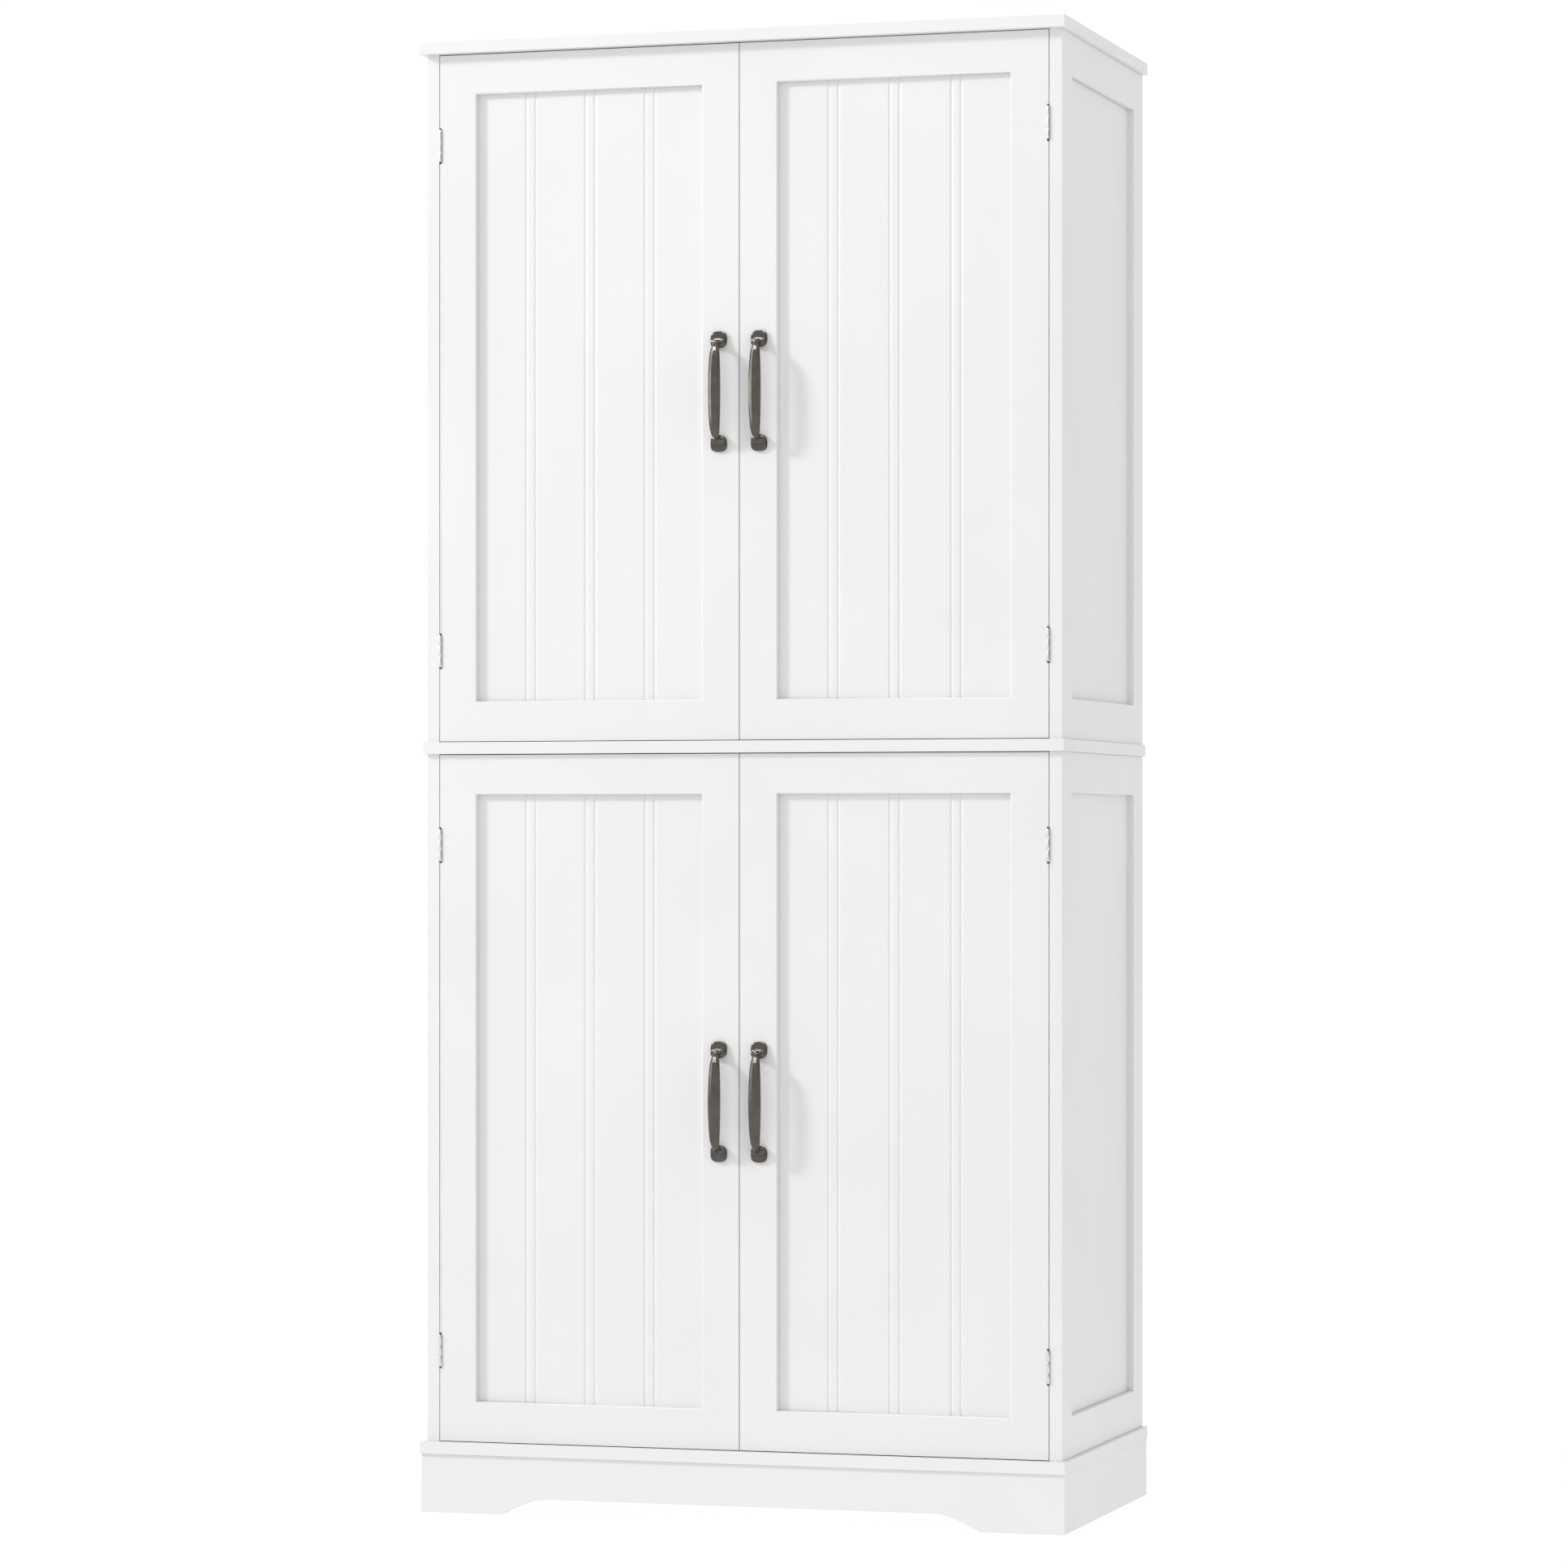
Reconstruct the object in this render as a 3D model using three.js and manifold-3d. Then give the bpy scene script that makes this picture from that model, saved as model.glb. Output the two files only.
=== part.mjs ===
// Tall pantry cabinet with four doors: two compartments, a plinth with an arched front, and two shelves
// in each compartment. Millimetres, +Z up, the doors face -Y, the origin is under the middle of the base.
import * as THREE from "three";
import { mergeVertices } from "three/addons/utils/BufferGeometryUtils.js";
import Module from "manifold-3d";

const wasm = await Module();
wasm.setup();

// ---- Driving sizes ------------------------------------------------------------------------------------
const HEIGHT = 1840;
const BODY_WIDTH = 819;
const BODY_DEPTH = 431;
const BOARD = 15; // thickness of the top, middle, bottom and shelf boards
const HANDLE_REACH = 25; // how far a handle stands out in front of its door

const REAR = (BODY_DEPTH + HANDLE_REACH) / 2;
const FACE = REAR - BODY_DEPTH; // plane of the door fronts and the body's front edges
const BODY_X = BODY_WIDTH / 2;

// How far each horizontal board stands out past the body, at the sides and at the front.
const TOP_OVERHANG = { side: 6.5, front: 13 };
const MID_OVERHANG = { side: 4, front: 6 };
const BOTTOM_OVERHANG = { side: 6.5, front: 11.5 };

// Heights of the undersides and tops, from the floor up.
const PLINTH_HEIGHT = 73;
const COMPARTMENT = 861;
const LOWER_FLOOR = PLINTH_HEIGHT + BOARD;
const LOWER_CEILING = LOWER_FLOOR + COMPARTMENT;
const UPPER_FLOOR = LOWER_CEILING + BOARD;
const UPPER_CEILING = UPPER_FLOOR + COMPARTMENT;

// Sides: a front post, a rear post and between them a panel with a shallow recess on its outer face.
const SIDE = 16;
const POST_DEPTH = 50;
const SIDE_RAIL = 50; // height of the plain band above and below the recess
const SIDE_RECESS = 8;
const INNER_X = BODY_X - SIDE;

// Plinth: four skirts set back a little from the bottom board's edges.
const SKIRT = 15;
const SKIRT_SETBACK = { side: 1.2, front: 3.4 };
const ARCH_FOOT = 106; // length of each foot along the front
const ARCH_RISE = 20.7;
const ARCH_SLOPE = THREE.MathUtils.degToRad(25.5);
const ARCH_STRAIGHT = 25; // length along the front of the straight part of each foot's slope

// Back: one thin panel per compartment, held in grooves in the rear posts and the boards.
const BACK = 4;
const BACK_INSET = 6; // from the rear of the body to the rear of the panel
const GROOVE = 5;
const GROOVE_SLACK = 0.5;

// Doors: a one-piece frame round a panel that is tucked in a groove.
const DOOR = 16;
const DOOR_END_GAP = 1; // above and below a door
const DOOR_EDGE_GAP = 0.9; // between a door's hinged edge and the front post
const DOOR_MIDDLE_GAP = 1;
const STILE = 48.3;
const RAIL = 50;
const PANEL_RECESS = 8;
const PANEL = 6;
const PANEL_TUCK = 8;
const FRAME_ROUND = 2; // radius of the frame's inner front edge
const FRAME_ROUND_STEPS = 4;
const BEAD_PITCH = 78; // between pairs of grooves
const BEAD_PAIR = 12.3; // between the two grooves of a pair
const BEAD_WIDTH = 4.6;
const BEAD_DEPTH = 1.2;

// Hinges: a leaf let into the post and a leaf let into the door's edge, joined by a barrel that lies half
// in a round notch across the gap.
const HINGE_FROM_END = 113; // from a door's top or bottom edge to the middle of the hinge
const DOOR_EDGE_X = INNER_X - DOOR_EDGE_GAP;
const BARREL_X = INNER_X - 1.45;
const BARREL_Y = FACE - 0.3;
const BARREL_RADIUS = 2.2;
const BARREL_HALF = 20;
const BARREL_NOTCH = { radius: 2.5, half: BARREL_HALF + 0.3 };
const KNUCKLE_HALF = 7; // half the height of the door leaf's middle knuckle
const KNUCKLE_SLACK = 0.15;
const PIN_RADIUS = 0.8;
const PIN_BORE = 0.85;
const PIN_TIP = { radius: 1.3, length: 1.9 };
const TIP_NOTCH = { radius: 1.5, half: BARREL_HALF + 2.2 };
const LEAF = 0.9;
const LEAF_SINK = 0.55; // depth of the shallow bed that a leaf lies in
const LEAF_REACH = 12; // how far a leaf runs back from the door front
const BED_SLACK = 0.1;

// Handles.
const HANDLE_CENTRES = 128; // between the middles of the two feet
const HANDLE_X = 26;
const FOOT_SIZE = 20.6;
const FOOT_CORNER = 7;
const FOOT_THICK = 4.5;
const BOSS = { wide: 8.2, narrow: 6.2, length: 3.4, shift: 1.6 };

// Shelves and what holds them.
const SHELF_WIDTH = 785;
const SHELF_BACK = REAR - BACK_INSET - BACK - 5;
const SHELF_FRONT = FACE + DOOR + 11;
const SHELF_PIN = { radius: 2.5, length: 7, front: FACE + 74, rear: FACE + 356 };
const SHELVES_PER_COMPARTMENT = 2;
const TOUCH = 0.02; // a shelf lies this far above the pins' highest line

// Magnetic catch under each ceiling and a strike plate on each door.
const CATCH = { halfWidth: 42, depth: 24, height: 13 };
const STRIKE = { width: 24, height: 14, thick: 1, fromMiddle: 12 };
const CATCH_GAP = 0.3;

// ---- Finishes -----------------------------------------------------------------------------------------
const finish = (color, roughness, metalness) => ({ color, roughness, metalness });
const WHITE_LACQUER = finish(0xf4f4f2, 0.5, 0);
const BACKBOARD = finish(0xeeeeea, 0.75, 0);
const BRONZE = finish(0x2c2622, 0.35, 0.9);
const NICKEL = finish(0xb9b7b2, 0.3, 1);
const STEEL = finish(0xa8a9ab, 0.4, 1);
const CATCH_PLASTIC = finish(0xe6e4df, 0.6, 0);

const cabinet = new THREE.Group();
cabinet.name = "pantry_cabinet";

function add(name, geometry, look) {
  const flat = geometry.index ? geometry.toNonIndexed() : geometry;
  flat.computeVertexNormals();
  const mesh = new THREE.Mesh(flat, new THREE.MeshStandardMaterial(look));
  mesh.name = name;
  cabinet.add(mesh);
}

// ---- Geometry helpers ---------------------------------------------------------------------------------
// A box between two opposite corners, given per axis as a pair in either order.
function box([xa, xb], [ya, yb], [za, zb]) {
  const g = new THREE.BoxGeometry(Math.abs(xb - xa), Math.abs(yb - ya), Math.abs(zb - za));
  return g.translate((xa + xb) / 2, (ya + yb) / 2, (za + zb) / 2);
}

function bare(geometry) {
  const g = geometry.clone();
  g.deleteAttribute("normal");
  g.deleteAttribute("uv");
  return mergeVertices(g, 1e-4);
}

function solid(geometry) {
  const g = bare(geometry);
  return new wasm.Manifold(
    new wasm.Mesh({
      numProp: 3,
      vertProperties: new Float32Array(g.attributes.position.array),
      triVerts: new Uint32Array(g.index.array),
    }),
  );
}

function geometryOf(manifold) {
  const m = manifold.getMesh();
  const g = new THREE.BufferGeometry();
  g.setAttribute("position", new THREE.BufferAttribute(new Float32Array(m.vertProperties), 3));
  g.setIndex(new THREE.BufferAttribute(new Uint32Array(m.triVerts), 1));
  return g;
}

const join = (...parts) => geometryOf(parts.map(solid).reduce((a, b) => a.add(b)));
const cut = (whole, ...tools) => geometryOf(tools.map(solid).reduce((a, b) => a.subtract(b), solid(whole)));

// Six times the volume that a list of triangles encloses, negative if they face inwards.
function signedVolume(points, faces) {
  const [a, b, c] = [new THREE.Vector3(), new THREE.Vector3(), new THREE.Vector3()];
  let sum = 0;
  for (let i = 0; i < faces.length; i += 3) {
    a.fromArray(points[faces[i]]);
    b.fromArray(points[faces[i + 1]]);
    c.fromArray(points[faces[i + 2]]);
    sum += a.dot(b.cross(c));
  }
  return sum;
}

// A closed skin over rings of points; each ring has the same count and turns the same way.
function loft(rings) {
  const count = rings[0].length;
  const points = rings.flat();
  const faces = [];
  for (let r = 0; r + 1 < rings.length; r++) {
    for (let i = 0; i < count; i++) {
      const j = (i + 1) % count;
      const a = r * count + i;
      const b = r * count + j;
      const c = (r + 1) * count + j;
      const d = (r + 1) * count + i;
      faces.push(a, b, c, a, c, d);
    }
  }
  const last = (rings.length - 1) * count;
  for (let i = 1; i + 1 < count; i++) {
    faces.push(0, i + 1, i);
    faces.push(last, last + i, last + i + 1);
  }
  if (signedVolume(points, faces) < 0) faces.reverse();
  const g = new THREE.BufferGeometry();
  g.setAttribute("position", new THREE.Float32BufferAttribute(points.flat(), 3));
  g.setIndex(faces);
  return g;
}

// A cylinder along Z, Y or X between two positions on that axis.
function rod(axis, radius, from, to, [u, v], sides = 20, endRadius = radius) {
  const g = new THREE.CylinderGeometry(endRadius, radius, to - from, sides);
  const middle = (from + to) / 2;
  if (axis === "z") return g.rotateX(Math.PI / 2).translate(u, v, middle);
  if (axis === "y") return g.translate(u, middle, v);
  return g.rotateZ(-Math.PI / 2).translate(middle, u, v);
}

// ---- Horizontal boards --------------------------------------------------------------------------------
const backY = [REAR - BACK_INSET - BACK, REAR - BACK_INSET];
const backGrooveX = [-INNER_X - GROOVE, INNER_X + GROOVE];

function board(overhang, floor) {
  const x = BODY_X + overhang.side;
  return box([-x, x], [FACE - overhang.front, REAR], [floor, floor + BOARD]);
}

const grooveAt = (z0, z1) => box(backGrooveX, backY, [z0, z1]);

add("top_board", cut(board(TOP_OVERHANG, UPPER_CEILING), grooveAt(UPPER_CEILING - 1, UPPER_CEILING + GROOVE)),
  WHITE_LACQUER);
add("mid_board", cut(board(MID_OVERHANG, LOWER_CEILING),
  grooveAt(LOWER_CEILING - 1, LOWER_CEILING + GROOVE),
  grooveAt(UPPER_FLOOR - GROOVE, UPPER_FLOOR + 1)), WHITE_LACQUER);
add("bottom_board", cut(board(BOTTOM_OVERHANG, PLINTH_HEIGHT),
  grooveAt(LOWER_FLOOR - GROOVE, LOWER_FLOOR + 1)), WHITE_LACQUER);

// ---- Plinth -------------------------------------------------------------------------------------------
const skirtX = BODY_X + BOTTOM_OVERHANG.side - SKIRT_SETBACK.side;
const skirtFront = FACE - BOTTOM_OVERHANG.front + SKIRT_SETBACK.front;

// Outline of one half of the arch, from the foot's inner corner to the level top: a straight slope and
// then a large arc that runs out level.
function archHalf() {
  const corner = skirtX - ARCH_FOOT;
  const straightRise = ARCH_STRAIGHT * Math.tan(ARCH_SLOPE);
  const radius = (ARCH_RISE - straightRise) / (1 - Math.cos(ARCH_SLOPE));
  const points = [[corner, 0]];
  const steps = 10;
  for (let i = 0; i <= steps; i++) {
    const turn = ARCH_SLOPE * (1 - i / steps);
    const x = corner - ARCH_STRAIGHT - radius * (Math.sin(ARCH_SLOPE) - Math.sin(turn));
    points.push([x, ARCH_RISE - radius * (1 - Math.cos(turn))]);
  }
  return points;
}

function archedSkirt() {
  const right = archHalf();
  const left = right.map(([x, z]) => [-x, z]).reverse();
  const outline = [[skirtX, PLINTH_HEIGHT], [-skirtX, PLINTH_HEIGHT], [-skirtX, 0], ...left.reverse(),
    ...right.reverse(), [skirtX, 0]];
  const shape = new THREE.Shape(outline.map(([x, z]) => new THREE.Vector2(x, z)));
  const g = new THREE.ExtrudeGeometry(shape, { depth: SKIRT, bevelEnabled: false });
  return g.rotateX(Math.PI / 2).translate(0, skirtFront + SKIRT, 0);
}

add("plinth_front", archedSkirt(), WHITE_LACQUER);
for (const [word, s] of [["left", -1], ["right", 1]]) {
  const g = box([s * (skirtX - SKIRT), s * skirtX], [skirtFront + SKIRT, REAR], [0, PLINTH_HEIGHT]);
  add("plinth_" + word, g, WHITE_LACQUER);
}
add("plinth_rear", box([-skirtX + SKIRT, skirtX - SKIRT], [REAR - SKIRT, REAR], [0, PLINTH_HEIGHT]),
  WHITE_LACQUER);

// ---- Shelf places -------------------------------------------------------------------------------------
// Undersides of a compartment's shelves, spaced so that the bays are equal.
function shelfHeights(floor) {
  const bay = (COMPARTMENT - SHELVES_PER_COMPARTMENT * BOARD) / (SHELVES_PER_COMPARTMENT + 1);
  return [1, 2].map((n) => floor + n * bay + (n - 1) * BOARD);
}

// ---- Room for the hinges ------------------------------------------------------------------------------
// Middles of a compartment's hinges, top one first.
function hingeHeights(floor) {
  const fromBoard = DOOR_END_GAP + HINGE_FROM_END;
  return [floor + COMPARTMENT - fromBoard, floor + fromBoard];
}

function leafBed(xa, xb, z) {
  const half = BARREL_HALF + BED_SLACK;
  return box([xa, xb], [FACE - 1, FACE + LEAF_REACH + BED_SLACK], [z - half, z + half]);
}

function barrelNotch(s, z) {
  const rods = [BARREL_NOTCH, TIP_NOTCH].map(({ radius, half }) =>
    rod("z", radius, z - half, z + half, [s * BARREL_X, BARREL_Y], 28));
  return join(...rods);
}

// ---- Sides --------------------------------------------------------------------------------------------
function sidePanel(s, floor) {
  const ys = [FACE + POST_DEPTH, REAR - POST_DEPTH];
  const slab = box([s * INNER_X, s * BODY_X], ys, [floor, floor + COMPARTMENT]);
  const recess = box([s * (BODY_X - SIDE_RECESS), s * (BODY_X + 1)], [ys[0] - 1, ys[1] + 1],
    [floor + SIDE_RAIL, floor + COMPARTMENT - SIDE_RAIL]);
  const pins = shelfHeights(floor).flatMap((z) => [SHELF_PIN.front, SHELF_PIN.rear].map((y) => {
    const ends = [s * (INNER_X - SHELF_PIN.length), s * (INNER_X + 1)].sort((a, b) => a - b);
    return rod("x", SHELF_PIN.radius, ends[0], ends[1], [y, z - SHELF_PIN.radius - TOUCH], 12);
  }));
  return join(cut(slab, recess), ...pins);
}

function frontPost(s, floor) {
  const post = box([s * INNER_X, s * BODY_X], [FACE, FACE + POST_DEPTH], [floor, floor + COMPARTMENT]);
  return cut(post, ...hingeHeights(floor).flatMap((z) => [
    leafBed(s * (INNER_X - 1), s * (INNER_X + LEAF_SINK), z),
    barrelNotch(s, z),
  ]));
}

function rearPost(s, floor) {
  const post = box([s * INNER_X, s * BODY_X], [REAR - POST_DEPTH, REAR], [floor, floor + COMPARTMENT]);
  const zs = [floor - 1, floor + COMPARTMENT + 1];
  const groove = box([s * (INNER_X - 1), s * (INNER_X + GROOVE)], backY, zs);
  return cut(post, groove);
}

const LEVELS = [
  { word: "upper", floor: UPPER_FLOOR },
  { word: "lower", floor: LOWER_FLOOR },
];
const HANDS = [
  { word: "left", s: -1 },
  { word: "right", s: 1 },
];

for (const { word: level, floor } of LEVELS) {
  for (const { word: hand, s } of HANDS) {
    const name = "side_" + level + "_" + hand;
    add(name + "_front_post", frontPost(s, floor), WHITE_LACQUER);
    add(name + "_panel", sidePanel(s, floor), WHITE_LACQUER);
    add(name + "_rear_post", rearPost(s, floor), WHITE_LACQUER);
  }
}

// ---- Backs, shelves and catches -----------------------------------------------------------------------
for (const { word: level, floor } of LEVELS) {
  const x = INNER_X + GROOVE - GROOVE_SLACK;
  const zs = [floor - GROOVE + GROOVE_SLACK, floor + COMPARTMENT + GROOVE - GROOVE_SLACK];
  add("back_" + level, box([-x, x], backY, zs), BACKBOARD);

  const [low, high] = shelfHeights(floor);
  for (const [word, z] of [["low", low], ["high", high]]) {
    const g = box([-SHELF_WIDTH / 2, SHELF_WIDTH / 2], [SHELF_FRONT, SHELF_BACK], [z, z + BOARD]);
    add("shelf_" + level + "_" + word, g, WHITE_LACQUER);
  }

  const catchFront = FACE + DOOR + STRIKE.thick + CATCH_GAP;
  const ceiling = floor + COMPARTMENT;
  add("catch_" + level, box([-CATCH.halfWidth, CATCH.halfWidth], [catchFront, catchFront + CATCH.depth],
    [ceiling - CATCH.height, ceiling]), CATCH_PLASTIC);
}

// ---- Doors --------------------------------------------------------------------------------------------
function rectangleRing(x0, x1, z0, z1, y) {
  return [[x0, y, z0], [x0, y, z1], [x1, y, z1], [x1, y, z0]];
}

// A door frame between x0 and x1, without its hinge beds.
function doorFrame(x0, x1, z0, z1) {
  const inner = { x0: x0 + STILE, x1: x1 - STILE, z0: z0 + RAIL, z1: z1 - RAIL };
  const slab = box([x0, x1], [FACE, FACE + DOOR], [z0, z1]);
  const hole = box([inner.x0, inner.x1], [FACE - 1, FACE + DOOR + 1], [inner.z0, inner.z1]);
  const groove = box([inner.x0 - PANEL_TUCK, inner.x1 + PANEL_TUCK],
    [FACE + PANEL_RECESS, FACE + PANEL_RECESS + PANEL], [inner.z0 - PANEL_TUCK, inner.z1 + PANEL_TUCK]);
  const ring = (grow, y) =>
    rectangleRing(inner.x0 - grow, inner.x1 + grow, inner.z0 - grow, inner.z1 + grow, y);
  const rings = [ring(FRAME_ROUND, FACE - 1)];
  for (let i = 0; i <= FRAME_ROUND_STEPS; i++) {
    const turn = (Math.PI / 2) * (i / FRAME_ROUND_STEPS);
    rings.push(ring(FRAME_ROUND * (1 - Math.sin(turn)), FACE + FRAME_ROUND * (1 - Math.cos(turn))));
  }
  return cut(slab, hole, groove, loft(rings));
}

// The same frame with the beds and notches of its two hinges.
function hungDoorFrame(s, [x0, x1], z0, z1, floor) {
  return cut(doorFrame(x0, x1, z0, z1), ...hingeHeights(floor).flatMap((z) => [
    leafBed(s * (DOOR_EDGE_X - LEAF_SINK), s * (DOOR_EDGE_X + 1), z),
    barrelNotch(s, z),
  ]));
}

function doorPanel(x0, x1, z0, z1) {
  const reach = PANEL_TUCK - GROOVE_SLACK;
  const front = FACE + PANEL_RECESS;
  const zs = [z0 + RAIL - reach, z1 - RAIL + reach];
  const slab = box([x0 + STILE - reach, x1 - STILE + reach], [front, front + PANEL], zs);
  const middle = (x0 + x1) / 2;
  const grooves = [-1, 0, 1].flatMap((n) => [-0.5, 0.5].map((side) => {
    const x = middle + n * BEAD_PITCH + side * BEAD_PAIR;
    const half = (BEAD_WIDTH / 2) * ((BEAD_DEPTH + 1) / BEAD_DEPTH);
    const ring = (z) => [[x - half, front - 1, z], [x + half, front - 1, z], [x, front + BEAD_DEPTH, z]];
    return loft([ring(zs[0] - 1), ring(zs[1] + 1)]);
  }));
  return cut(slab, ...grooves);
}

// ---- Handles ------------------------------------------------------------------------------------------
// Section of the grip, one unit across to each side: a flat front, two wide bevels and a rounded back.
const GRIP_SECTION = [[-0.26, -1], [0.26, -1], [1, -0.42], [1, 0.2], [0.5, 1], [-0.5, 1], [-1, 0.2],
  [-1, -0.42]];
// Half the grip, from a foot to the middle: height from the middle, reach from the door, half width and
// half depth.
const GRIP_STATIONS = [
  [61.6, 5.0, 3.6, 3.6],
  [60.4, 9.4, 3.0, 3.0],
  [57.6, 13.4, 2.9, 2.9],
  [55.2, 15.2, 4.4, 3.4],
  [52, 16.4, 5.2, 3.6],
  [48.2, 17.9, 5.9, 3.9],
  [34, 19.5, 6.8, 4.4],
  [18, 20.2, 7.5, 4.5],
  [0, 20.4, 7.7, 4.6],
];

function grip(x, zMiddle) {
  const half = GRIP_STATIONS.map(([z, y, w, d]) => ({ z, y: FACE - y, w, d }));
  const stations = [...half, ...half.slice(0, -1).reverse().map((p) => ({ ...p, z: -p.z }))];
  const rings = stations.map((p, i) => {
    const before = stations[Math.max(0, i - 1)];
    const after = stations[Math.min(stations.length - 1, i + 1)];
    const run = new THREE.Vector2(after.y - before.y, after.z - before.z).normalize();
    return GRIP_SECTION.map(([u, v]) =>
      [x + u * p.w, p.y - v * p.d * run.y, zMiddle + p.z + v * p.d * run.x]);
  });
  return loft(rings);
}

function roundedSquare(size, corner) {
  const h = size / 2;
  const shape = new THREE.Shape();
  shape.moveTo(-h + corner, -h);
  shape.lineTo(h - corner, -h);
  shape.quadraticCurveTo(h, -h, h, -h + corner);
  shape.lineTo(h, h - corner);
  shape.quadraticCurveTo(h, h, h - corner, h);
  shape.lineTo(-h + corner, h);
  shape.quadraticCurveTo(-h, h, -h, h - corner);
  shape.lineTo(-h, -h + corner);
  shape.quadraticCurveTo(-h, -h, -h + corner, -h);
  return shape;
}

function handleFoot(x, z, inward) {
  const bevel = 1.2;
  const pad = new THREE.ExtrudeGeometry(roundedSquare(FOOT_SIZE - 2 * bevel, FOOT_CORNER),
    { depth: FOOT_THICK - bevel, bevelEnabled: true, bevelSize: bevel, bevelThickness: bevel,
      bevelSegments: 2, curveSegments: 6 });
  const trimmed = cut(pad, box([-50, 50], [-50, 50], [-50, 0]));
  trimmed.rotateX(Math.PI / 2).translate(x, FACE, z);
  const boss = rod("y", BOSS.narrow, FACE - FOOT_THICK - BOSS.length, FACE - FOOT_THICK + 1,
    [x, z + inward * BOSS.shift], 28, BOSS.wide);
  return [trimmed, boss];
}

function handle(s, zMiddle) {
  const x = s * HANDLE_X;
  const half = HANDLE_CENTRES / 2;
  return join(...handleFoot(x, zMiddle + half, -1), ...handleFoot(x, zMiddle - half, 1), grip(x, zMiddle));
}

// ---- Hinges -------------------------------------------------------------------------------------------
// A leaf's plate between two distances from the middle plane, from the barrel back to the leaf's rear edge.
function leafPlate(s, inner, outer, front, z) {
  return box([s * inner, s * outer], [front, FACE + LEAF_REACH], [z - BARREL_HALF, z + BARREL_HALF]);
}

// Room round the barrel for the other leaf's knuckles, between two heights.
function knuckleRelief(s, za, zb) {
  const ys = [BARREL_Y - 4, BARREL_Y + BARREL_NOTCH.radius];
  return box([s * (BARREL_X - 4), s * (BARREL_X + 4)], ys, [za, zb]);
}

function frameLeaf(s, z) {
  const at = [s * BARREL_X, BARREL_Y];
  const inner = INNER_X + LEAF_SINK - LEAF;
  const plate = leafPlate(s, inner, INNER_X + LEAF_SINK, BARREL_Y, z);
  const room = KNUCKLE_HALF + KNUCKLE_SLACK;
  const relief = knuckleRelief(s, z - room, z + room);
  const knuckles = [1, -1].map((end) => {
    const ends = [z + end * room, z + end * BARREL_HALF].sort((a, b) => a - b);
    return rod("z", BARREL_RADIUS, ends[0], ends[1], at);
  });
  const pin = rod("z", PIN_RADIUS, z - BARREL_HALF, z + BARREL_HALF, at);
  const tips = [1, -1].map((end) => {
    const ends = [z + end * (BARREL_HALF - 0.5), z + end * (BARREL_HALF + PIN_TIP.length)];
    return rod("z", PIN_TIP.radius, Math.min(...ends), Math.max(...ends), at, 12);
  });
  return join(cut(plate, relief), ...knuckles, pin, ...tips);
}

function doorLeaf(s, z) {
  const at = [s * BARREL_X, BARREL_Y];
  const inner = DOOR_EDGE_X - LEAF_SINK;
  const plate = leafPlate(s, inner, inner + LEAF, BARREL_Y + PIN_BORE + 0.2, z);
  const reliefs = [1, -1].map((end) => knuckleRelief(s, z + end * KNUCKLE_HALF, z + end * (BARREL_HALF + 1)));
  const knuckle = rod("z", BARREL_RADIUS, z - KNUCKLE_HALF, z + KNUCKLE_HALF, at);
  const bore = rod("z", PIN_BORE, z - KNUCKLE_HALF - 1, z + KNUCKLE_HALF + 1, at);
  return cut(join(cut(plate, ...reliefs), knuckle), bore);
}

// ---- Doors with their fittings ------------------------------------------------------------------------
function strikePlate(s, ceiling) {
  const y = FACE + DOOR;
  const z = ceiling - CATCH.height / 2;
  const x = [s * STRIKE.fromMiddle, s * (STRIKE.fromMiddle + STRIKE.width)];
  return box(x, [y, y + STRIKE.thick], [z - STRIKE.height / 2 - 1, z + STRIKE.height / 2 - 3]);
}

for (const { word: level, floor } of LEVELS) {
  const z0 = floor + DOOR_END_GAP;
  const z1 = floor + COMPARTMENT - DOOR_END_GAP;
  for (const { word: hand, s } of HANDS) {
    const name = level + "_" + hand;
    const ends = [s * (DOOR_MIDDLE_GAP / 2), s * DOOR_EDGE_X].sort((a, b) => a - b);
    add("door_" + name + "_frame", hungDoorFrame(s, ends, z0, z1, floor), WHITE_LACQUER);
    add("door_" + name + "_panel", doorPanel(ends[0], ends[1], z0, z1), WHITE_LACQUER);
    add("handle_" + name, handle(s, (z0 + z1) / 2), BRONZE);
    add("strike_" + name, strikePlate(s, floor + COMPARTMENT), STEEL);
    const [highHinge, lowHinge] = hingeHeights(floor);
    for (const [where, z] of [["top", highHinge], ["bottom", lowHinge]]) {
      add("hinge_" + name + "_" + where + "_frame_leaf", frameLeaf(s, z), NICKEL);
      add("hinge_" + name + "_" + where + "_door_leaf", doorLeaf(s, z), NICKEL);
    }
  }
}

export default cabinet;
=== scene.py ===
"""Looks for the pantry cabinet: lacquered boards with softened edges, cast bow handles, butt hinges with
screws, shelf pins, magnetic catches, and a plain bright studio. Metres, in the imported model's frame."""

import math

import bmesh
import bpy
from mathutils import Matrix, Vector


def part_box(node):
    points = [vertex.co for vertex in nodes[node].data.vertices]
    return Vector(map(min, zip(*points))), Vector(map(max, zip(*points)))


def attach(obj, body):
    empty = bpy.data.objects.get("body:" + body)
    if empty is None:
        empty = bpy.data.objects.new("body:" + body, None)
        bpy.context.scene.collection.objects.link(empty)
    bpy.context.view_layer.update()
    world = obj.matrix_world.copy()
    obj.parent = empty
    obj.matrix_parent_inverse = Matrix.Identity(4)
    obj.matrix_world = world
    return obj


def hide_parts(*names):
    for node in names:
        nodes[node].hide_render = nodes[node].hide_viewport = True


MM = 0.001

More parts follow.
